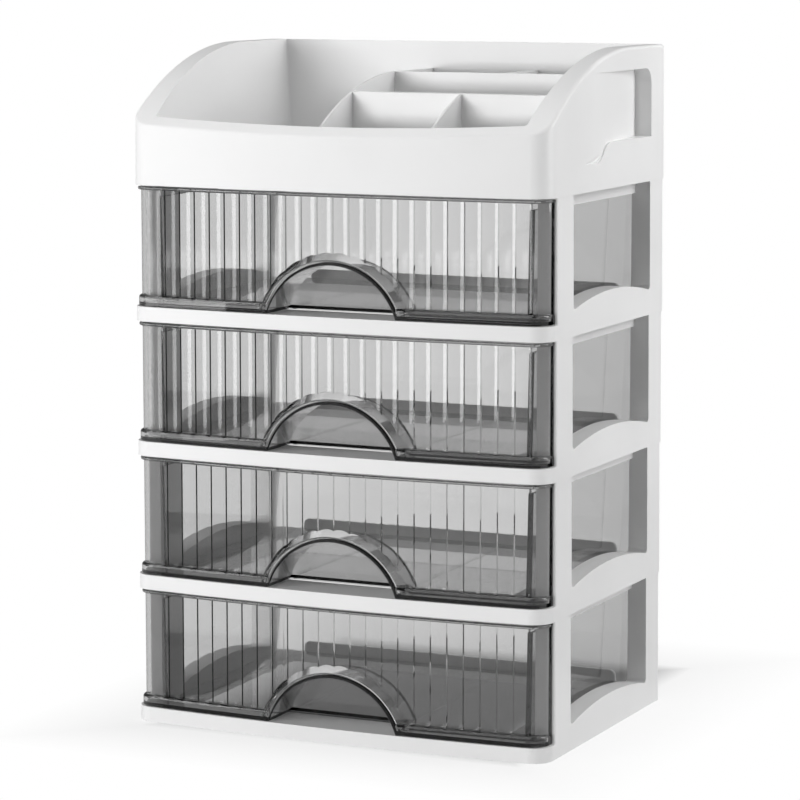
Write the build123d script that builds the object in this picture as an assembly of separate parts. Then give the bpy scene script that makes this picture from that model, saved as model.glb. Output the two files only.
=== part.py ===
from build123d import *
import math
import os

# Four-drawer tabletop organizer: four stacked tier frames, four drawers, one open tray.
# Millimetres, +Z up, the front faces -Y, the origin is under the middle of the base.

# Outside of the stack
WIDTH = 250.0  # across the sides at the foot of a moulding
DEPTH = 178.3  # crown of the bowed front to the back
FRONT_BOW = 5.5  # crown of the front ahead of its two corners
FRONT_CORNER = 11.0
BACK_CORNER = 3.5
DRAFT = 0.6  # each moulding loses this much per side on its way up
TIERS = 4
TIER_HEIGHT = 75.35

# Tier frame
RAIL_HEIGHT = 8.2  # front rail, its top is the shelf
SHELF = 2.5
SHELF_FRONT = 27.0  # crown of the front to where the shelf opens
LEDGE = 18.5  # what the shelf leaves along each side of the bay
SKIN = 2.2
SIDE_WALL = 11.5
POST_SETBACK = 19.0  # crown of the front to the posts' front faces
FRONT_POST = 22.2
BACK_POST = 22.7
SILL_HEIGHT = 5.6  # above the shelf at the window's two ends
SILL_RISE = 6.2  # the arched sill's middle above its ends
WINDOW_ROUND = 2.5
HEADER_HEIGHT = 7.1  # rail over the window, level with the bay's side
EDGE_ROUND = 1.2
LIP_HEIGHT = 6.6
LIP_END = 28.0  # side of the frame to the end of the rear lip
LIP_ROUND = 3.3
LUG_HEIGHT = 4.0
LUG_CLEARANCE = 0.3

# Drawer
DRAWER_WALL = 2.0
DRAWER_FLOOR = 1.8
GLIDE_HEIGHT = 0.6
GLIDE_WIDTH = 2.0
GLIDE_INNER = 36.5
GLIDE_EDGE = 13.0  # bin's side to the outer glides
SIDE_GAP = 1.3
BODY_DRAFT = 1.2
BODY_HEIGHT = 60.6  # side and back walls above the shelf
BODY_CORNER = 2.6
BACK_SPACE = 9.2  # behind the closed drawer
FRONT_GAP = 0.3  # round the drawer's front
FRONT_REVEAL = 1.6  # end of the drawer front to the side of the frame
FLANGE_HEIGHT = 6.2
FLANGE_ROUND = 1.8  # along its top edge
RIM_HEIGHT = 1.9
RIM_EDGE = 0.8
WALL_SETBACK = 4.5  # fluted wall behind the flange's face
WALL_CORNER = 8.5
FLUTE_PITCH = 9.45
FLUTE_DEPTH = 0.8

# Finger pull
PULL_RADIUS = 43.5  # front edge of the arch
PULL_FLARE = 4.5  # the arch grows by this much on its way back to the wall
PULL_WALL = 1.6  # round the recess
PULL_CHANNEL = 2.6  # the arch is hollow from this far behind its front edge
PULL_LIP = 3.1  # width of the arch's front edge
PULL_ROUND = 1.2  # along both sides of that edge
PULL_PROUD = 0.3  # that edge ahead of the flange
PULL_DROP = 12.5  # centre of the arch below the shelf
PULL_DEPTH = 28.0  # crown of the front to the back of the recess

# Tray
TRAY_HEIGHT = 75.6
SWEEP_RADIUS = 190.0  # top edge, seen from the side
SWEEP_START = 54.2  # back of the tray to where the sweep begins
RIM_ROUND = 2.0
RIM_WIDTH = 11.3  # side wall at the top
POCKET_DRAFT = 6.0  # the walls thicken by this much on their way down
TRAY_FRONT = 8.5  # at the tray's floor
TRAY_BACK = 9.0  # at the tray's floor
POCKET_CORNER = 1.5
DIVIDER = 1.3
DIVIDER_TOP = 15.6  # dividers below the tray's back edge
DIVIDER_LEFT = 18.0  # left divider to the middle of the tray
DIVIDER_RIGHT = 48.0
CROSS_FRONT = 66.1  # crown of the front to the front cross wall
CROSS_BACK = 56.5  # back of the tray to the rear cross wall
GRIP_TOP = 63.0
GRIP_STEP = 25.0
GRIP_LOW = 14.4
GRIP_BACK = 22.6
GRIP_LENGTH = 108.0
GRIP_STEP_LENGTH = 61.0
GRIP_SLOPE_LENGTH = 22.0
GRIP_DEPTH = 10.0
GRIP_ROUND = 8.0
DISH_DEPTH = 4.0
DISH_REACH = 26.0  # ahead of the ledge's foot
DISH_RISE = 3.0  # above the ledge
DISH_ROUND = 12.0  # its floor curves in from the side at this radius

FRONT = -DEPTH / 2
BACK = DEPTH / 2
POST_FRONT = FRONT + POST_SETBACK
BAY = WIDTH / 2 - SIDE_WALL
BOW_RADIUS = (WIDTH / 2) ** 2 / (2 * FRONT_BOW) + FRONT_BOW / 2
FAR = 2 * (WIDTH + DEPTH)


def front_y(x, inset):
    radius = BOW_RADIUS - inset
    return FRONT + BOW_RADIUS - math.sqrt(radius**2 - x**2)


def block(x0, x1, y0, y1, z0, z1):
    box = Box(x1 - x0, y1 - y0, z1 - z0, align=(Align.MIN, Align.MIN, Align.MIN))
    return Pos(x0, y0, z0) * box


def one(shape):
    return shape.solids()[0] if len(shape.solids()) == 1 else shape


def rise(face, z0, z1, lean=0.0):
    height = z1 - z0
    taper = math.degrees(math.atan2(lean, height))
    return Pos(0, 0, z0) * extrude(face, amount=height, dir=(0, 0, 1), taper=taper)


def rounded(wire, corners, radius):
    face = make_face(wire)
    picked = []
    for x, y in corners:
        picked.append(face.vertices().sort_by_distance(Vector(x, y, 0))[0])
    return fillet(picked, radius)


def plan(half, inset, back, front_corner, back_corner):
    corner_y = front_y(half, inset)
    wire = [
        ThreePointArc((-half, corner_y), (0, front_y(0, inset)), (half, corner_y)),
        Line((half, corner_y), (half, back)),
        Line((half, back), (-half, back)),
        Line((-half, back), (-half, corner_y)),
    ]
    face = rounded(wire, [(-half, corner_y), (half, corner_y)], front_corner)
    if back_corner:
        rear = [face.vertices().sort_by_distance(Vector(x, back, 0))[0] for x in (-half, half)]
        face = fillet(rear, back_corner)
    return face


def moulding(inset, z0, z1, height):
    half = WIDTH / 2 - inset
    face = plan(half, inset, BACK - inset, FRONT_CORNER - inset, max(BACK_CORNER - inset, 0.5))
    return rise(face, z0, z1, DRAFT * (z1 - z0) / height)


def across(face, x0, x1):
    """A side profile drawn as (y, z), carried from x0 to x1."""
    return Pos(x0, 0, 0) * extrude(Plane.YZ * face, amount=x1 - x0, dir=(1, 0, 0))


def tier_frame():
    top = TIER_HEIGHT
    under = RAIL_HEIGHT - SHELF
    body = moulding(0, 0, top, top)
    body -= block(-BAY, BAY, -FAR, FAR, RAIL_HEIGHT, top + 1)
    body -= block(-FAR, FAR, -FAR, POST_FRONT, RAIL_HEIGHT, top + 1)

    window_front = POST_FRONT + FRONT_POST
    window_back = BACK - BACK_POST
    sill = RAIL_HEIGHT + SILL_HEIGHT
    middle = (window_front + window_back) / 2
    profile = [
        ThreePointArc((window_front, sill), (middle, sill + SILL_RISE), (window_back, sill)),
        Line((window_back, sill), (window_back, top + 5)),
        Line((window_back, top + 5), (window_front, top + 5)),
        Line((window_front, top + 5), (window_front, sill)),
    ]
    window = rounded(profile, [(window_front, sill), (window_back, sill)], WINDOW_ROUND)
    body -= across(window, -FAR, FAR)

    for x in (-BAY - SKIN, BAY):
        body += block(x, x + SKIN, window_front - SKIN, window_back + SKIN, top - HEADER_HEIGHT, top)

    edges = [
        edge
        for edge in body.edges()
        if abs(edge.center().Y - POST_FRONT) < 0.01
        and abs(edge.center().X) > BAY + SIDE_WALL / 2
        and edge.bounding_box().size.Z > TIER_HEIGHT / 2
    ]
    body = fillet(edges, EDGE_ROUND)

    body -= moulding(SKIN, -1, under, top)
    inner = BAY + SKIN
    outer = WIDTH / 2 - DRAFT - SKIN
    hollows = [
        (POST_FRONT + SKIN, window_front - SKIN, top - SKIN),
        (window_back + SKIN, BACK - DRAFT - SKIN, top - SKIN),
        (POST_FRONT + SKIN, BACK - DRAFT - SKIN, sill - SKIN),
    ]
    for y0, y1, z1 in hollows:
        body -= block(inner, outer, y0, y1, 0, z1)
        body -= block(-outer, -inner, y0, y1, 0, z1)

    body -= block(LEDGE - BAY, BAY - LEDGE, FRONT + SHELF_FRONT, BACK - DRAFT - SKIN, -1, RAIL_HEIGHT + 1)

    lip_half = WIDTH / 2 - LIP_END
    lip_top = RAIL_HEIGHT + LIP_HEIGHT
    lip_back = BACK - DRAFT
    lip = block(-lip_half, lip_half, lip_back - SKIN, lip_back, RAIL_HEIGHT - SHELF, lip_top)
    ends = lip.edges().filter_by(Axis.Y).group_by(Axis.Z)[-1]
    body += fillet(ends, LIP_ROUND)

    lug_outer = WIDTH / 2 - SKIN - LUG_CLEARANCE
    lug_back = BACK - SKIN - LUG_CLEARANCE
    lugs = [
        (POST_FRONT + SKIN, window_front - SKIN),
        (window_back + SKIN, lug_back),
    ]
    for y0, y1 in lugs:
        body += block(inner, lug_outer - DRAFT, y0, y1, top - SKIN, top + LUG_HEIGHT)
        body += block(-lug_outer + DRAFT, -inner, y0, y1, top - SKIN, top + LUG_HEIGHT)
    return one(body)


def fluted(half, inset, corner):
    """Plan with a row of shallow flutes for its bowed face."""
    back = BACK
    reach = half - corner - 0.3
    count = round(2 * reach / FLUTE_PITCH)
    step = 2 * reach / count
    wire = []
    for i in range(count):
        x0 = -reach + i * step
        x1 = x0 + step
        xm = (x0 + x1) / 2
        wire.append(
            ThreePointArc(
                (x0, front_y(x0, inset)),
                (xm, front_y(xm, inset) + FLUTE_DEPTH),
                (x1, front_y(x1, inset)),
            )
        )
    corner_y = front_y(half, inset)
    end_y = front_y(reach, inset)
    wire += [
        Line((reach, end_y), (half, corner_y)),
        Line((half, corner_y), (half, back)),
        Line((half, back), (-half, back)),
        Line((-half, back), (-half, corner_y)),
        Line((-half, corner_y), (-reach, end_y)),
    ]
    return rounded(wire, [(-half, corner_y), (half, corner_y)], corner)


def drawer():
    shelf = RAIL_HEIGHT
    floor_low = shelf + GLIDE_HEIGHT
    floor_top = floor_low + DRAWER_FLOOR
    front_low = shelf + FRONT_GAP
    front_top = TIER_HEIGHT - FRONT_GAP
    front_back = POST_FRONT - FRONT_GAP
    half = WIDTH / 2 - FRONT_REVEAL
    flange_corner = FRONT_CORNER - FRONT_REVEAL / 2
    wall_half = half - FRONT_GAP
    wall_y = WALL_SETBACK

    body_half = BAY - SIDE_GAP - BODY_DRAFT
    body_back = BACK - BACK_SPACE - BODY_DRAFT
    body_top = shelf + BODY_HEIGHT
    front_inside = front_back - 2 * DRAWER_WALL

    def bin_shape(inset, z0, z1):
        lean = BODY_DRAFT * (z1 - z0) / (body_top - floor_low)
        grown = BODY_DRAFT * (z0 - floor_low) / (body_top - floor_low)
        x = body_half - inset + grown
        y = body_back - inset + grown
        corner = BODY_CORNER - inset
        wire = Polyline((-x, front_inside), (x, front_inside), (x, y), (-x, y), close=True)
        face = rounded(wire, [(x, y), (-x, y)], corner)
        return rise(face, z0, z1, -lean)

    def front_slice(face, back, z0, z1):
        return rise(face, z0, z1) & block(-FAR, FAR, -FAR, back, z0, z1)

    def eased(plate, levels, radius):
        edges = [
            edge
            for edge in plate.edges()
            if any(abs(edge.center().Z - z) < 0.01 for z in levels) and edge.center().Y < front_back - 0.01
        ]
        return fillet(edges, radius)

    shell = bin_shape(0, floor_low, body_top)
    wall = fluted(wall_half, wall_y, WALL_CORNER)
    shell += front_slice(wall, front_back, front_low, front_top)
    foot = plan(half, FRONT_GAP, BACK, flange_corner, 0)
    flange_top = front_low + FLANGE_HEIGHT
    rim_low = front_top - RIM_HEIGHT
    shell += eased(front_slice(foot, front_back, front_low, flange_top), [flange_top], FLANGE_ROUND)
    shell += eased(front_slice(foot, front_back, rim_low, front_top), [rim_low, front_top], RIM_EDGE)

    inside = fluted(wall_half - DRAWER_WALL, wall_y + DRAWER_WALL, WALL_CORNER - DRAWER_WALL)
    shell -= front_slice(inside, front_back - DRAWER_WALL, floor_top, front_top + 1)
    shell -= bin_shape(DRAWER_WALL, floor_top, front_top + 1)
    toe = plan(half - DRAWER_WALL, FRONT_GAP + DRAWER_WALL, BACK, flange_corner - DRAWER_WALL, 0)
    shell -= front_slice(toe, front_back - DRAWER_WALL, floor_top, flange_top - DRAWER_WALL)

    pull_z = shelf - PULL_DROP
    vault = PULL_RADIUS - PULL_LIP
    recess = FRONT + PULL_DEPTH
    wall_face = FRONT + wall_y + DRAWER_WALL

    def barrel(radius, flare, y0, y1):
        return Pos(0, 0, pull_z) * (Rot(-90, 0, 0) * rise(Circle(radius), y0, y1, -flare))

    def lip_edges(shape, radius):
        picked = []
        for edge in shape.edges():
            middle = edge.position_at(0.5)
            from_axis = math.hypot(middle.X, middle.Z - pull_z)
            near = abs(from_axis - radius) < 1 and middle.Y < FRONT + FRONT_GAP + FRONT_BOW / 2
            if near and edge.bounding_box().size.Z > PULL_LIP:
                picked.append(edge)
        return picked

    spread = PULL_FLARE / (wall_face - FRONT)
    skin = DRAWER_WALL * math.hypot(1, spread)
    channel = FRONT + PULL_CHANNEL
    channel_end = wall_face + DRAWER_WALL
    channel_radius = PULL_RADIUS + spread * PULL_CHANNEL - skin

    brow = plan(half, FRONT_GAP - PULL_PROUD, BACK, flange_corner, 0)
    hood = one(barrel(PULL_RADIUS, PULL_FLARE, FRONT, wall_face) & rise(brow, front_low, front_top))
    shell += fillet(lip_edges(hood, PULL_RADIUS), PULL_ROUND)
    hollow = barrel(channel_radius, spread * (channel_end - channel), channel, channel_end)
    shell -= hollow & block(-FAR, FAR, -FAR, FAR, floor_top, front_top)
    inner = barrel(vault + PULL_WALL, 0, FRONT + PULL_ROUND + FRONT_GAP, recess + DRAWER_WALL)
    shell += inner & block(-FAR, FAR, -FAR, FAR, front_low, front_top)
    shell -= barrel(vault, 0, FRONT - 1, recess)
    shell = fillet(lip_edges(shell, vault), PULL_ROUND)

    glide_outer = body_half - GLIDE_EDGE
    for x in (-glide_outer, -GLIDE_INNER, GLIDE_INNER, glide_outer):
        shell += block(
            x - GLIDE_WIDTH / 2,
            x + GLIDE_WIDTH / 2,
            recess + 2 * DRAWER_WALL,
            body_back - BODY_CORNER,
            shelf,
            floor_low + DRAWER_FLOOR / 2,
        )
    return one(shell)


def sweep_under(start, crown, radius):
    """Side profile of everything under a top edge that is level at the back and falls away to the front."""
    low_y = FRONT - 5
    low_z = crown - radius + math.sqrt(radius**2 - (start - low_y) ** 2)
    mid_y = (start + low_y) / 2
    mid_z = crown - radius + math.sqrt(radius**2 - (start - mid_y) ** 2)
    wire = [
        ThreePointArc((low_y, low_z), (mid_y, mid_z), (start, crown)),
        Line((start, crown), (BACK + 5, crown)),
        Line((BACK + 5, crown), (BACK + 5, -5)),
        Line((BACK + 5, -5), (low_y, -5)),
        Line((low_y, -5), (low_y, low_z)),
    ]
    return make_face(wire)


def pocket(grow, z0, z1):
    """The tray's inside, wider at its top; grow makes it larger all round."""

    def level(z):
        wider = POCKET_DRAFT * (z - RAIL_HEIGHT) / (TRAY_HEIGHT - RAIL_HEIGHT) + grow
        half = WIDTH / 2 - RIM_WIDTH - POCKET_DRAFT + wider
        corner = POCKET_CORNER + grow
        face = plan(half, TRAY_FRONT - wider, BACK - TRAY_BACK + wider, corner, corner)
        return Pos(0, 0, z) * face

    return loft([level(z0), level(z1)], ruled=True)


def ledge(step_y, step, slope_y, low):
    """The S-shaped front end of the ledge under the scoop."""
    middle = ((step_y + slope_y) / 2, (step + low) / 2)
    return [
        TangentArc((step_y, step), middle, tangent=(-1, 0)),
        TangentArc((slope_y, low), middle, tangent=(1, 0)),
    ]


def grip_dish():
    """Dish at the foot of the right scoop's front end, sloping in to the ledge's S-shaped end."""
    step_y = BACK - GRIP_BACK - GRIP_STEP_LENGTH
    slope_y = step_y - GRIP_SLOPE_LENGTH
    near = slope_y - GRIP_LENGTH / 2
    far = step_y + DISH_DEPTH / 2
    high = GRIP_TOP
    wire = [
        Line((near, GRIP_LOW), (slope_y, GRIP_LOW)),
        *ledge(step_y, GRIP_STEP, slope_y, GRIP_LOW),
        Line((step_y, GRIP_STEP), (far, GRIP_STEP)),
        Line((far, GRIP_STEP), (far, high)),
        Line((far, high), (near, high)),
        Line((near, high), (near, GRIP_LOW)),
    ]
    side = Plane(origin=(WIDTH / 2 + 0.5, 0, 0), x_dir=(0, -1, 0), z_dir=(-1, 0, 0))
    face = make_face([edge.mirror(Plane.YZ) for edge in wire])
    ramp = extrude(side * face, amount=DISH_DEPTH + 0.5, taper=40)
    start = Vector(WIDTH / 2, slope_y - DISH_REACH, GRIP_LOW)
    end = Vector(WIDTH / 2, step_y, GRIP_STEP + DISH_RISE)
    along = end - start
    behind = Vector(DISH_ROUND, 0, 0)
    floor = Plane(origin=start - behind, z_dir=along) * Cylinder(DISH_ROUND, FAR)
    above = Plane(origin=start, x_dir=along, z_dir=Vector(1, 0, 0).cross(along))
    return ramp - floor - above * Box(FAR, FAR, FAR, align=(Align.CENTER, Align.CENTER, Align.MIN))


def grip(grow):
    """Scoop in the right side: shallow at the front, deepest at the back, with a stepped foot."""
    back = BACK - GRIP_BACK + grow
    front = BACK - GRIP_BACK - GRIP_LENGTH
    side = WIDTH / 2
    depth = GRIP_DEPTH + grow
    radius = (back - front) ** 2 / (2 * depth)
    mid_y = (front + back) / 2
    mid_x = side - (mid_y - front) ** 2 / (2 * radius)
    floor_plan = [
        ThreePointArc((side, front), (mid_x, mid_y), (side - depth, back)),
        Line((side - depth, back), (side + 10, back)),
        Line((side + 10, back), (side + 10, front)),
        Line((side + 10, front), (side, front)),
    ]
    step_y = BACK - GRIP_BACK - GRIP_STEP_LENGTH + grow / 2
    slope_y = step_y - GRIP_SLOPE_LENGTH
    top = GRIP_TOP + grow
    step = GRIP_STEP - grow
    low = GRIP_LOW - grow
    outline = [
        Line((front, top), (back, top)),
        Line((back, top), (back, step)),
        Line((back, step), (step_y, step)),
        *ledge(step_y, step, slope_y, low),
        Line((slope_y, low), (front, low)),
        Line((front, low), (front, top)),
    ]
    side_view = rounded(outline, [(back, top)], GRIP_ROUND)
    return rise(make_face(floor_plan), 0, TRAY_HEIGHT) & across(side_view, 0, WIDTH)


def top_tray():
    top = TRAY_HEIGHT
    start = BACK - SWEEP_START
    floor = RAIL_HEIGHT
    body = moulding(0, 0, top, top)
    body = body & across(sweep_under(start, top, SWEEP_RADIUS), -FAR, FAR)
    rim = body.faces().filter_by(lambda f: f.normal_at(f.center()).Z > 0.3)
    edges = [edge for face in rim for edge in face.outer_wire().edges()]
    shared = [e for e in edges if sum(e.is_same(o) for o in edges) == 1]
    body = fillet(shared, RIM_ROUND)

    cut = pocket(0, floor, top + 5)
    walls = block(-DIVIDER_LEFT - DIVIDER / 2, -DIVIDER_LEFT + DIVIDER / 2, -FAR, FAR, 0, top)
    front_cross = FRONT + CROSS_FRONT
    back_cross = BACK - CROSS_BACK
    for y in (front_cross, back_cross):
        walls += block(-DIVIDER_LEFT, FAR, y - DIVIDER / 2, y + DIVIDER / 2, 0, top)
    right0 = DIVIDER_RIGHT - DIVIDER / 2
    right1 = DIVIDER_RIGHT + DIVIDER / 2
    walls += block(right0, right1, -FAR, front_cross, 0, top)
    walls += block(right0, right1, back_cross, FAR, 0, top)
    walls = walls & across(sweep_under(start, top - DIVIDER_TOP, SWEEP_RADIUS), -FAR, FAR)
    body -= cut - walls

    for scoop in (grip(0), grip_dish()):
        body -= scoop
        body -= mirror(scoop, Plane.YZ)

    hollow = moulding(SKIN, -1, top, top)
    lower = top - RIM_ROUND - SKIN
    hollow -= pocket(SKIN, floor - SHELF, top + 5)
    hollow = hollow & across(sweep_under(start, lower, SWEEP_RADIUS), -FAR, FAR)
    step_y = BACK - GRIP_BACK - GRIP_STEP_LENGTH
    dish_back = block(
        WIDTH / 2 - DISH_DEPTH - 2 * SKIN,
        FAR,
        step_y - GRIP_SLOPE_LENGTH - DISH_REACH - SKIN,
        step_y + DISH_DEPTH + SKIN,
        GRIP_LOW - SKIN,
        GRIP_STEP + DISH_RISE + 2 * SKIN,
    )
    for guard in (grip(SKIN), dish_back):
        hollow -= guard
        hollow -= mirror(guard, Plane.YZ)
    body -= hollow
    return body


os.makedirs("parts", exist_ok=True)
frame = tier_frame()
bin_part = drawer()
for tier in range(TIERS):
    lift = Pos(0, 0, tier * TIER_HEIGHT)
    export_step(lift * frame, f"parts/tier_frame_{tier + 1}.step")
    export_step(lift * bin_part, f"parts/drawer_{tier + 1}.step")
export_step(Pos(0, 0, TIERS * TIER_HEIGHT) * top_tray(), "parts/top_tray.step")
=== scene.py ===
import math

import bpy
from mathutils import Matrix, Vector


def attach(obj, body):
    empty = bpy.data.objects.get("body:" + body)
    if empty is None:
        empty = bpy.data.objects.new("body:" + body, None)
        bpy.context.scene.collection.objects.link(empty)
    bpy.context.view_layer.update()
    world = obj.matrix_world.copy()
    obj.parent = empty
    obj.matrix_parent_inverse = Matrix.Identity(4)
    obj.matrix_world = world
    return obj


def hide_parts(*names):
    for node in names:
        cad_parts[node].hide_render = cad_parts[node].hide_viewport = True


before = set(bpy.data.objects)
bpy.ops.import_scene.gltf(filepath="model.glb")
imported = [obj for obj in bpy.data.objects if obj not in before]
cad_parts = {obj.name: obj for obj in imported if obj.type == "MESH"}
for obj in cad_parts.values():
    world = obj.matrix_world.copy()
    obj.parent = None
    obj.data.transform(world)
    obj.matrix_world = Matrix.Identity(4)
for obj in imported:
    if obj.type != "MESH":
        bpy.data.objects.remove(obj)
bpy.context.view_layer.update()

scene = bpy.context.scene
scene.view_settings.view_transform = "Standard"
MM = 0.001


def linear(hex_colour):
    """An sRGB hex colour as linear red, green, blue and alpha."""
    channels = [int(hex_colour[i : i + 2], 16) / 255 for i in (0, 2, 4)]
    lit = [c / 12.92 if c <= 0.04045 else ((c + 0.055) / 1.055) ** 2.4 for c in channels]
    return (*lit, 1.0)


def add(tree, kind, inputs=None, **settings):
    """Adds a node, sets it up, and sets or links its inputs."""
    made = tree.nodes.new(kind)
    for name, value in settings.items():
        setattr(made, name, value)
    for name, value in (inputs or {}).items():
        if isinstance(value, bpy.types.NodeSocket):
            tree.links.new(value, made.inputs[name])
        else:
            made.inputs[name].default_value = value
    return made


def combined(tree, first, second, how):
    """The product or the larger of two values."""
    return add(tree, "ShaderNodeMath", {0: first, 1: second}, operation=how).outputs[0]


def joined(tree, kind, first, second, share=None):
    """Two shaders mixed by a share, or added up."""
    made = add(tree, kind, {} if share is None else {0: share})
    tree.links.new(first.outputs[0], made.inputs[-2])
    tree.links.new(second.outputs[0], made.inputs[-1])
    return made


def ranged(tree, value, start, end, low=0.0, high=1.0):
    """A value that runs from low to high between start and end."""
    limits = {"From Min": start, "From Max": end, "To Min": low, "To Max": high}
    return add(tree, "ShaderNodeMapRange", {"Value": value, **limits}).outputs["Result"]


def new_material(name):
    """A material with no nodes yet, and its node tree."""
    material = bpy.data.materials.new(name)
    material.use_nodes = True
    material.node_tree.nodes.clear()
    return material, material.node_tree


def white_moulded_polypropylene():
    """Injection-moulded opaque polypropylene, polished tool: an even white with a soft sheen, no grain to
    the eye, only a slow unevenness where the melt flowed, and edges that stay as clean as the faces."""
    material, tree = new_material("white_moulded_polypropylene")
    place = add(tree, "ShaderNodeTexCoord")
    # Flow marks about 60 mm apart and a mould texture of about 1.2 mm.
    flow, grain = (
        add(
            tree,
            "ShaderNodeTexNoise",
            {"Vector": place.outputs["Object"], "Scale": 1 / (spacing * MM), "Detail": 2.0},
        )
        for spacing in (60, 1.2)
    )
    tone = add(tree, "ShaderNodeValToRGB", {"Fac": flow.outputs["Fac"]})
    low_flow = 0.3
    high_flow = 0.7
    stops = tone.color_ramp.elements
    stops[0].position = low_flow
    stops[0].color = linear("F0F0F0")
    stops[1].position = high_flow
    stops[1].color = linear("F3F3F3")
    sheen = ranged(tree, flow.outputs["Fac"], low_flow, high_flow, low=0.34, high=0.42)
    relief = add(
        tree, "ShaderNodeBump", {"Height": grain.outputs["Fac"], "Strength": 0.05, "Distance": 0.05 * MM}
    )
    body = add(
        tree,
        "ShaderNodeBsdfPrincipled",
        {
            "Base Color": tone.outputs["Color"],
            "Roughness": sheen,
            "IOR": 1.49,
            "Normal": relief.outputs["Normal"],
        },
    )
    add(tree, "ShaderNodeOutputMaterial", {"Surface": body.outputs["BSDF"]})
    return material


def smoke_clear_polystyrene():
    """Injection-moulded clear polystyrene with a smoke tint, polished: it lets most light through, mirrors
    the lamps sharply, and goes nearly black where it is looked through along a wall or an edge."""
    material, tree = new_material("smoke_clear_polystyrene")
    place = add(tree, "ShaderNodeTexCoord")
    # Slow waviness of the moulded wall, about 25 mm from crest to crest.
    wave = add(
        tree,
        "ShaderNodeTexNoise",
        {"Vector": place.outputs["Object"], "Scale": 1 / (25 * MM), "Detail": 1.0},
    )
    relief = add(
        tree, "ShaderNodeBump", {"Height": wave.outputs["Fac"], "Strength": 0.04, "Distance": 0.05 * MM}
    )
    clear = add(
        tree,
        "ShaderNodeBsdfPrincipled",
        {
            "Base Color": (1, 1, 1, 1),
            "Roughness": 0.02,
            "IOR": 1.52,
            "Transmission Weight": 1.0,
            "Normal": relief.outputs["Normal"],
        },
    )
    # A little under half of the lamps' light gets through a wall to what is behind it.
    open_way = add(tree, "ShaderNodeBsdfTransparent", {"Color": linear("E0E0E0")})
    path = add(tree, "ShaderNodeLightPath")
    wall = joined(tree, "ShaderNodeMixShader", clear, open_way, path.outputs["Is Shadow Ray"])
    # The tint takes a little over a fifth of the light in a 2 mm wall.
    tint = add(tree, "ShaderNodeVolumeAbsorption", {"Color": linear("000000"), "Density": 125.0})
    add(
        tree,
        "ShaderNodeOutputMaterial",
        {"Surface": wall.outputs[0], "Volume": tint.outputs["Volume"]},
    )
    return material


white = white_moulded_polypropylene()
smoke = smoke_clear_polystyrene()
for name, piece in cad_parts.items():
    finish = smoke if name.startswith("drawer") else white
    piece.data.materials.clear()
    piece.data.materials.append(finish)

# The drawer, in millimetres above the bottom of its tier, close to the part's source. Here the rim ends
# 0.45 mm lower, for the dark gap over it, and a few edges are rounder.
TIERS = 4
TIER_HEIGHT = 75.35
WALL = 2.0
CROWN = -89.15  # foremost point of the bow
BOW_RADIUS = 1423.2

FRONT_LOW = 8.5
FRONT_TOP = 74.6
FRONT_BACK = -70.45
FLANGE_SETBACK = 0.3  # flange and rim behind the bow
FLANGE_HALF = 123.4
FLANGE_CORNER = 10.2
FLANGE_TOP = 14.7
FLANGE_FOOT_ROUND = 0.4
FLANGE_ROUND = 1.8
RIM_LOW = 72.8
RIM_ROUND = 0.8

FLUTES = 24
FLUTE_REACH = 114.3  # the flutes end this far from the middle
FLUTE_DEPTH = 0.8
FLUTED_HALF = 123.1
FLUTED_SETBACK = 4.5  # fluted wall behind the bow
FLUTED_CORNER = 8.5
FLUTED_FOOT = 1.5  # the wall starts this far up inside the flange
FLUTED_HEAD = 1.0  # and ends this far below the top of the rim
MOUTH_ROUND = 0.6  # inner edge of the wall's top

FLOOR_LOW = 8.8
FLOOR_TOP = 10.6
SLAB_FRONT = -72.45
BIN_FRONT = -74.45
BIN_BACK = 78.75
BIN_HALF = 111.0
BIN_TOP = 68.8
BIN_DRAFT = 1.2  # the bin's top is wider by this on each side
BIN_CORNER = 2.6
BIN_CORNER_LEAST = 0.3
BIN_FOOT_ROUND = 0.8
BIN_TOP_ROUND = 0.5
GLIDES = (-98.0, -36.5, 36.5, 98.0)
GLIDE_HALF = 1.0
GLIDE_ENDS = (-57.15, 76.15)
GLIDE_LOW = 8.2
GLIDE_TOP = 9.7

ARCH_CENTRE = -4.3
ARCH_RADIUS = 43.5
ARCH_ROOT = 47.5  # its radius where it meets the fluted wall
ARCH_BACK = -83.4
ARCH_EDGE = 1.4  # rounding of both its front edges
CHANNEL = (2.3, 8.2)  # the arch is hollow between these distances from its front
FACE_RINGS = (34.0, 38.0)  # they keep the end of its blank flat, and the recess takes them away
VAULT = 40.4
VAULT_SKIN = 1.6
RECESS = -61.15

# The cutting bodies run this far past the plastic, and those that trim the arch are this wide and long.
PAST = 3
TRIM_PLAN = (-60, 60, -100, -40)
TRIM_LOW = -60

# Straight steps along each curve.
BOW_STEPS = 40
END_STEPS = 16
FLUTE_STEPS = 12
CORNER_STEPS = 8
RING_STEPS = 240
FINE_STEPS = 4
EDGE_STEPS = 6
PLATE_FOOT_STEPS = 5
PLATE_TOP_STEPS = 8
SHARP_ANGLE = 25


def bowed_y(x, inset):
    """Where the bowed front lies, this far behind the bow."""
    return CROWN + BOW_RADIUS - math.sqrt((BOW_RADIUS - inset) ** 2 - x**2)


def turn(centre, radius, start, end, steps):
    """Points along an arc between two angles."""
    angles = [start + (end - start) * i / steps for i in range(steps + 1)]
    return [(centre[0] + radius * math.cos(a), centre[1] + radius * math.sin(a)) for a in angles]


def both_sides(right):
    """A whole outline from its right half, which starts on the middle line at the front."""
    return right + [(-x, y) for x, y in reversed(right[1:])]


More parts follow.
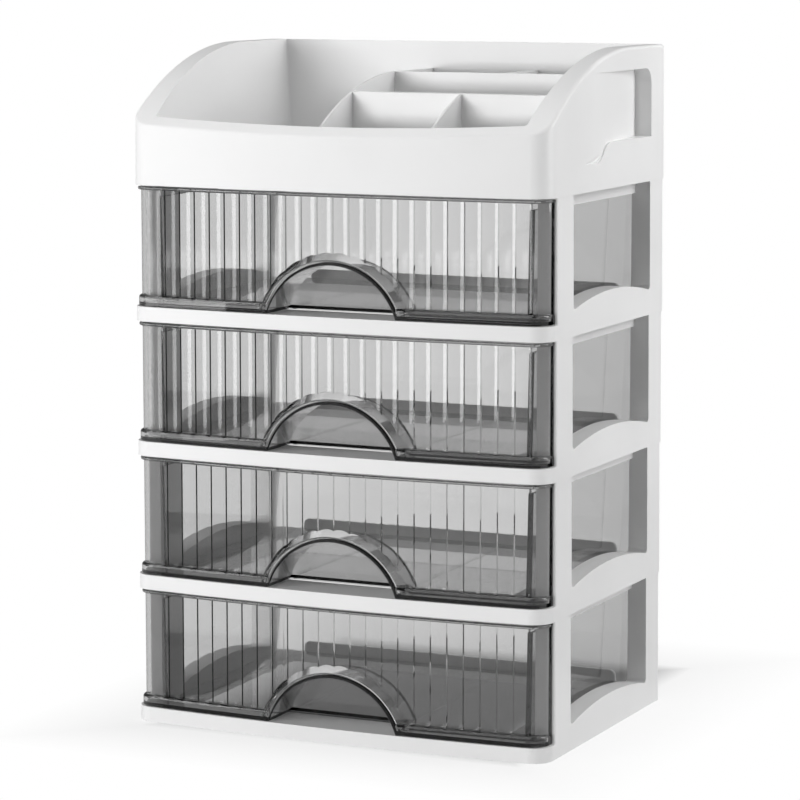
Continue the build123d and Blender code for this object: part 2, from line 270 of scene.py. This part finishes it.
def flange_outline(shrink, back=FRONT_BACK):
    """Bowed front with round ends, cut off straight at the back."""
    half = FLANGE_HALF - shrink
    corner = FLANGE_CORNER - shrink
    radius = BOW_RADIUS - FLANGE_SETBACK - shrink
    middle = CROWN + BOW_RADIUS
    end_x = half - corner
    end_y = middle - math.sqrt((radius - corner) ** 2 - end_x**2)
    meet = math.atan2(end_y - middle, end_x)
    front = turn((0, middle), radius, -math.pi / 2, meet, BOW_STEPS)
    end = turn((end_x, end_y), corner, meet, 0, END_STEPS)
    return both_sides(front + end[1:] + [(half, back)])


def fluted_outline(half, inset, corner, back):
    """A row of shallow hollows along the bowed front, with plain round ends."""
    step = 2 * FLUTE_REACH / FLUTES
    right = []
    for flute in range(FLUTES // 2):
        x0 = flute * step
        y0 = bowed_y(x0, inset)
        y1 = bowed_y(x0 + step, inset)
        for t in (k / FLUTE_STEPS for k in range(FLUTE_STEPS)):
            right.append((x0 + t * step, y0 + t * (y1 - y0) + 4 * FLUTE_DEPTH * t * (1 - t)))
    last_y = bowed_y(FLUTE_REACH, inset)
    lean = math.atan2(bowed_y(half, inset) - last_y, half - FLUTE_REACH)
    foot = half - corner + corner * math.sin(lean)
    end = (half - corner, last_y + (foot - FLUTE_REACH) * math.tan(lean) + corner * math.cos(lean))
    right.append((FLUTE_REACH, last_y))
    right += turn(end, corner, lean - math.pi / 2, 0, END_STEPS)
    right.append((half, back))
    return both_sides(right)


def bin_outline(height, shrink):
    """The bin behind the front, a little wider at its top."""
    wider = BIN_DRAFT * (height - FLOOR_LOW) / (BIN_TOP - FLOOR_LOW)
    x = BIN_HALF + wider - shrink
    y = BIN_BACK + wider - shrink
    corner = max(BIN_CORNER - shrink, BIN_CORNER_LEAST)
    end = turn((x - corner, y - corner), corner, 0, math.pi / 2, CORNER_STEPS)
    return both_sides([(0, BIN_FRONT), (x, BIN_FRONT)] + end)


def quarter(radius, steps):
    """Height and depth along a quarter-round edge, from its side to its flat face."""
    angles = [math.pi / 2 * i / steps for i in range(steps + 1)]
    return [(radius * math.sin(a), radius * (1 - math.cos(a))) for a in angles]


def stacked(name, levels):
    """A closed body from outlines with the same number of points, one above the other."""
    count = len(levels[0])
    points = [tuple(c * MM for c in p) for level in levels for p in level]
    faces = [tuple(reversed(range(count)))]
    for level in range(len(levels) - 1):
        low = level * count
        for i in range(count):
            j = (i + 1) % count
            faces.append((low + i, low + j, low + count + j, low + count + i))
    faces.append(tuple(range(len(points) - count, len(points))))
    mesh = bpy.data.meshes.new(name)
    mesh.from_pydata(points, [], faces)
    return mesh


def upright(name, rows):
    """Outlines in plan, each with its height."""
    return stacked(name, [[(x, y, z) for x, y in outline] for z, outline in rows])


def round_plate(name, outline, low, high, low_round, high_round):
    """A plate with an outline that shrinks along its rounded lower and upper edges."""
    foot = reversed(quarter(low_round, PLATE_FOOT_STEPS))
    rows = [(low + low_round - rise, outline(shrink)) for rise, shrink in foot]
    head = quarter(high_round, PLATE_TOP_STEPS)
    rows += [(high - high_round + rise, outline(shrink)) for rise, shrink in head]
    return upright(name, rows)


def about_arch(name, rows):
    """Rings about the arch's axis, each with its y, its radius, and its share of the front's bow."""
    levels = []
    for y, radius, follow in rows:
        ring = []
        for i in range(RING_STEPS):
            angle = math.tau * i / RING_STEPS
            x = radius * math.sin(angle)
            bow = bowed_y(x, FLANGE_SETBACK) - bowed_y(0, FLANGE_SETBACK)
            ring.append((x, y + follow * bow, ARCH_CENTRE + radius * math.cos(angle)))
        levels.append(ring)
    return stacked(name, levels)


def box(name, x0, x1, y0, y1, z0, z1):
    """A plain block between two corners."""
    outline = [(x0, y0), (x1, y0), (x1, y1), (x0, y1)]
    return upright(name, [(z0, outline), (z1, outline)])


def worked(blank, steps):
    """Joins bodies to a blank and cuts them from it, in turn."""
    holder = bpy.data.objects.new("drawer_blank", blank)
    scene.collection.objects.link(holder)
    tools = []
    for how, mesh in steps:
        tool = bpy.data.objects.new(mesh.name, mesh)
        scene.collection.objects.link(tool)
        step = holder.modifiers.new(mesh.name, "BOOLEAN")
        step.operation = how
        step.solver = "MANIFOLD"
        step.object = tool
        tools.append(tool)
    graph = bpy.context.evaluated_depsgraph_get()
    result = bpy.data.meshes.new_from_object(holder.evaluated_get(graph))
    for spare in [holder, *tools]:
        bpy.data.objects.remove(spare)
    return result


def bin_bodies():
    """The bin's outside and the room in it."""
    foot = reversed(quarter(BIN_FOOT_ROUND, FINE_STEPS))
    top = quarter(BIN_TOP_ROUND, FINE_STEPS)
    rows = [(FLOOR_LOW + BIN_FOOT_ROUND - rise, shrink) for rise, shrink in foot]
    rows += [(BIN_TOP - BIN_TOP_ROUND + rise, shrink) for rise, shrink in top]
    body = upright("bin", [(z, bin_outline(z, shrink)) for z, shrink in rows])
    rows = [(FLOOR_TOP, WALL), (BIN_TOP - BIN_TOP_ROUND, WALL)]
    rows += [(BIN_TOP - BIN_TOP_ROUND + rise, WALL - flare) for rise, flare in top[1:]]
    rows.append((FRONT_TOP + PAST, WALL - BIN_TOP_ROUND))
    room = upright("bin_room", [(z, bin_outline(min(z, BIN_TOP), shrink)) for z, shrink in rows])
    return body, room


def fluted_bodies():
    """The fluted wall's outside and the room behind it."""
    outside = fluted_outline(FLUTED_HALF, FLUTED_SETBACK, FLUTED_CORNER, FRONT_BACK)
    ends = (FRONT_LOW + FLUTED_FOOT, FRONT_TOP - FLUTED_HEAD)
    body = upright("fluted_wall", [(z, outside) for z in ends])
    rows = [(FLOOR_TOP, 0.0), (FRONT_TOP - MOUTH_ROUND, 0.0)]
    rows += [(FRONT_TOP - MOUTH_ROUND + rise, flare) for rise, flare in quarter(MOUTH_ROUND, FINE_STEPS)[1:]]
    rows.append((FRONT_TOP + PAST, MOUTH_ROUND))
    half = FLUTED_HALF - WALL
    setback = FLUTED_SETBACK + WALL
    corner = FLUTED_CORNER - WALL
    room = upright(
        "front_room",
        [(z, fluted_outline(half + d, setback - d, corner + d, SLAB_FRONT)) for z, d in rows],
    )
    return body, room


def arch_bodies():
    """The flared hood of the pull, the hollow in it, the barrel round the recess, and the recess itself."""
    front = bowed_y(0, FLANGE_SETBACK)
    edge = list(reversed(quarter(ARCH_EDGE, EDGE_STEPS)))
    spread = (ARCH_ROOT - ARCH_RADIUS) / (ARCH_BACK - front)
    skin = WALL * math.hypot(1, spread)
    rows = [(front, radius, 1) for radius in FACE_RINGS]
    rows += [(front + ARCH_EDGE - depth, ARCH_RADIUS - shrink, 1) for depth, shrink in edge]
    rows.append((ARCH_BACK, ARCH_ROOT, 1))
    hood = about_arch("arch_hood", rows)
    channel = about_arch("arch_hollow", [(front + d, ARCH_RADIUS + spread * d - skin, 1) for d in CHANNEL])
    above_floor = box("above_floor", *TRIM_PLAN, FLOOR_TOP, FRONT_TOP)
    hollow = worked(channel, [("INTERSECT", above_floor)])
    around = VAULT + VAULT_SKIN
    barrel = about_arch("arch_barrel", [(front + ARCH_EDGE, around, 1), (RECESS + WALL, around, 0)])
    rows = [(front - PAST, VAULT + ARCH_EDGE, 1)]
    rows += [(front + ARCH_EDGE - depth, VAULT + shrink, 1) for depth, shrink in edge]
    rows.append((RECESS, VAULT, 0))
    vault = about_arch("arch_vault", rows)
    return hood, hollow, barrel, vault


def drawer_mesh():
    """One drawer as a single closed mesh, joined and cut in the order of its steps."""
    bin_body, bin_room = bin_bodies()
    wall_body, front_room = fluted_bodies()
    flange = round_plate("flange", flange_outline, FRONT_LOW, FLANGE_TOP, FLANGE_FOOT_ROUND, FLANGE_ROUND)
    rim = round_plate("rim", flange_outline, RIM_LOW, FRONT_TOP, RIM_ROUND, RIM_ROUND)
    toe_outline = flange_outline(WALL, SLAB_FRONT)
    toe = upright("toe", [(z, toe_outline) for z in (FLOOR_TOP, FLANGE_TOP - WALL)])
    hood, hollow, barrel, vault = arch_bodies()
    steps = [
        ("UNION", wall_body),
        ("UNION", flange),
        ("UNION", rim),
        ("DIFFERENCE", front_room),
        ("DIFFERENCE", bin_room),
        ("DIFFERENCE", toe),
        ("UNION", hood),
        ("DIFFERENCE", hollow),
        ("UNION", barrel),
        ("DIFFERENCE", vault),
        ("DIFFERENCE", box("under", *TRIM_PLAN, TRIM_LOW, FRONT_LOW)),
    ]
    for x in GLIDES:
        glide = box("glide", x - GLIDE_HALF, x + GLIDE_HALF, *GLIDE_ENDS, GLIDE_LOW, GLIDE_TOP)
        steps.append(("UNION", glide))
    mesh = worked(bin_body, steps)
    mesh.shade_smooth()
    mesh.set_sharp_from_angle(angle=math.radians(SHARP_ANGLE))
    return mesh


fine_drawer = drawer_mesh()
fine_drawer.materials.clear()
fine_drawer.materials.append(smoke)
for tier in range(TIERS):
    clear_drawer = bpy.data.objects.new(f"clear_drawer_{tier + 1}", fine_drawer)
    clear_drawer.location.z = tier * TIER_HEIGHT * MM
    even = clear_drawer.modifiers.new("even_faces", "WEIGHTED_NORMAL")
    even.keep_sharp = True
    even.weight = 80
    scene.collection.objects.link(clear_drawer)
    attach(clear_drawer, f"drawer_{tier + 1}_body")
    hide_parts(f"drawer_{tier + 1}")


MIRROR_SHARE = 0.35  # of the white background, in mirror images


def seen_directly(tree):
    """1 for what the camera sees or sees through, about a third of that in mirror images, 0 for light."""
    path = add(tree, "ShaderNodeLightPath")
    mirrored = combined(tree, path.outputs["Is Glossy Ray"], MIRROR_SHARE, "MULTIPLY")
    seen = combined(tree, path.outputs["Is Camera Ray"], mirrored, "MAXIMUM")
    return combined(tree, seen, path.outputs["Is Transmission Ray"], "MAXIMUM")


def sheet(name, corners, material):
    """A flat four-cornered piece of the studio."""
    mesh = bpy.data.meshes.new(name)
    mesh.from_pydata(corners, [], [(0, 1, 2, 3)])
    mesh.materials.append(material)
    piece = bpy.data.objects.new(name, mesh)
    scene.collection.objects.link(piece)
    return piece


def offset(tree, vector, amount):
    """A vector less a fixed one."""
    return add(tree, "ShaderNodeVectorMath", {0: vector, 1: amount}, operation="SUBTRACT").outputs[0]


def studio_floor():
    """Pale matt paper that keeps the object's soft shadow, with painted shade in a box under and behind the
    object, and runs into the white background further out.
    """
    material, tree = new_material("studio_paper")
    paper = add(tree, "ShaderNodeBsdfDiffuse", {"Color": linear("B4B4B4")})
    greyed = add(tree, "ShaderNodeBsdfDiffuse", {"Color": linear("828282")})
    # A box under the object and behind it, in metres, where the floor gets painted shade, and the distance
    # from its sides.
    painted_shade_middle = (0.0, 0.04, 0)
    painted_shade_half = (0.105, 0.125, 0)
    place = add(tree, "ShaderNodeNewGeometry")
    moved = offset(tree, place.outputs["Position"], painted_shade_middle)
    folded = add(tree, "ShaderNodeVectorMath", {0: moved}, operation="ABSOLUTE")
    beyond = offset(tree, folded.outputs[0], painted_shade_half)
    sides = add(tree, "ShaderNodeSeparateXYZ", {"Vector": beyond})
    away = combined(tree, sides.outputs["X"], sides.outputs["Y"], "MAXIMUM")
    # No glow well inside the box, most of it at the box's edge, and full white a hand's width away. Inside
    # the box the floor shows painted shade on top of the lamps' real shadow.
    edge_glow = ranged(tree, away, start=-0.03, end=0.01, high=0.74)
    lift = ranged(tree, away, start=0.0, end=0.08)
    glow = add(tree, "ShaderNodeEmission", {"Color": (1, 1, 1, 1), "Strength": edge_glow})
    near = joined(tree, "ShaderNodeAddShader", greyed, glow)
    background = add(tree, "ShaderNodeEmission", {"Color": (1, 1, 1, 1), "Strength": 1.0})
    shown = joined(tree, "ShaderNodeMixShader", near, background, lift)
    choice = joined(tree, "ShaderNodeMixShader", paper, shown, seen_directly(tree))
    add(tree, "ShaderNodeOutputMaterial", {"Surface": choice.outputs[0]})
    reach = 6.0
    corners = [(-reach, -reach, 0), (reach, -reach, 0), (reach, reach, 0), (-reach, reach, 0)]
    floor = sheet("studio_floor", corners, material)
    floor.location.z = -0.05 * MM


def studio_world():
    """White where the camera looks. Through the clear walls and in mirror images it is white at the horizon
    and grey higher up, and a little even light falls on everything else."""
    grey_start = 0.02
    grey_full = 0.1
    grey = 0.45
    even_light = 0.12
    world = bpy.data.worlds.new("studio_world")
    scene.world = world
    world.use_nodes = True
    tree = world.node_tree
    tree.nodes.clear()
    place = add(tree, "ShaderNodeTexCoord")
    height = add(tree, "ShaderNodeSeparateXYZ", {"Vector": place.outputs["Generated"]})
    backdrop = ranged(tree, height.outputs["Z"], grey_start, grey_full, 1.0, grey)
    path = add(tree, "ShaderNodeLightPath")
    strength = combined(tree, path.outputs["Is Camera Ray"], backdrop, "MAXIMUM")
    soft = add(tree, "ShaderNodeBackground", {"Color": (1, 1, 1, 1), "Strength": even_light})
    shown = add(tree, "ShaderNodeBackground", {"Color": (1, 1, 1, 1), "Strength": strength})
    choice = joined(tree, "ShaderNodeMixShader", soft, shown, seen_directly(tree))
    add(tree, "ShaderNodeOutputWorld", {"Surface": choice.outputs[0]})


def softbox(name, place, aim, width, height, watts, mirrored=True, through=True):
    """A rectangular lamp, which mirror images and views through the clear walls can leave out."""
    lamp = bpy.data.lights.new(name, "AREA")
    lamp.shape = "RECTANGLE"
    lamp.size = width
    lamp.size_y = height
    lamp.energy = watts
    holder = bpy.data.objects.new(name, lamp)
    holder.location = place
    holder.rotation_euler = (Vector(aim) - Vector(place)).to_track_quat("-Z", "Y").to_euler()
    holder.visible_glossy = mirrored
    holder.visible_transmission = through
    scene.collection.objects.link(holder)


def dark_flag():
    """A black card behind on the right, seen only in mirror images, where it darkens the clear side walls."""
    material, tree = new_material("black_felt")
    felt = add(tree, "ShaderNodeBsdfDiffuse", {"Color": linear("1E1E1E")})
    add(tree, "ShaderNodeOutputMaterial", {"Surface": felt.outputs["BSDF"]})
    near = 0.13
    far = 0.5
    y = 0.12
    top = 0.4
    card = sheet("dark_flag", [(near, y, 0), (far, y, 0), (far, y, top), (near, y, top)], material)
    card.visible_camera = False
    card.visible_diffuse = False
    card.visible_transmission = False
    card.visible_shadow = False


studio_floor()
studio_world()
# Places and sizes in metres. A key on the left, down to the floor, so that its near edge shows in the flutes,
# and a far one that evens out the front and doesn't show in the clear walls. One overhead for the rims, one
# on the right, and a weak one behind.
softbox("key", (-0.78, -0.85, 0.58), (0, 0, 0.38), width=0.4, height=1.2, watts=5.2)
softbox(
    "far_front",
    (-0.8, -2.87, 0.27),
    (0, 0, 0.25),
    width=1.2,
    height=0.36,
    watts=45.0,
    mirrored=False,
    through=False,
)
softbox("overhead", (-0.1, 0.1, 1.5), (0, 0, 0.2), width=1.0, height=1.0, watts=4.6)
softbox("fill", (1.15, 0.35, 0.66), (0, 0, 0.22), width=0.8, height=1.0, watts=11.8, through=False)
softbox(
    "back",
    (0.5, 2.4, 1.2),
    (0, 0, 0.2),
    width=0.8,
    height=0.8,
    watts=14.0,
    mirrored=False,
    through=False,
)
dark_flag()

# The photograph's camera, fitted to the edges of the object in it, in degrees to the right and down.
AZIMUTH = 24.949
DOWN = 7.904
lens = bpy.data.cameras.new("photo_camera")
lens.sensor_width = 36.0
lens.lens = 149.21
camera = bpy.data.objects.new("photo_camera", lens)
camera.location = (0.78078, -1.67678, 0.43523)
camera.rotation_euler = (math.radians(90 - DOWN), 0, math.radians(AZIMUTH))
scene.collection.objects.link(camera)
scene.camera = camera
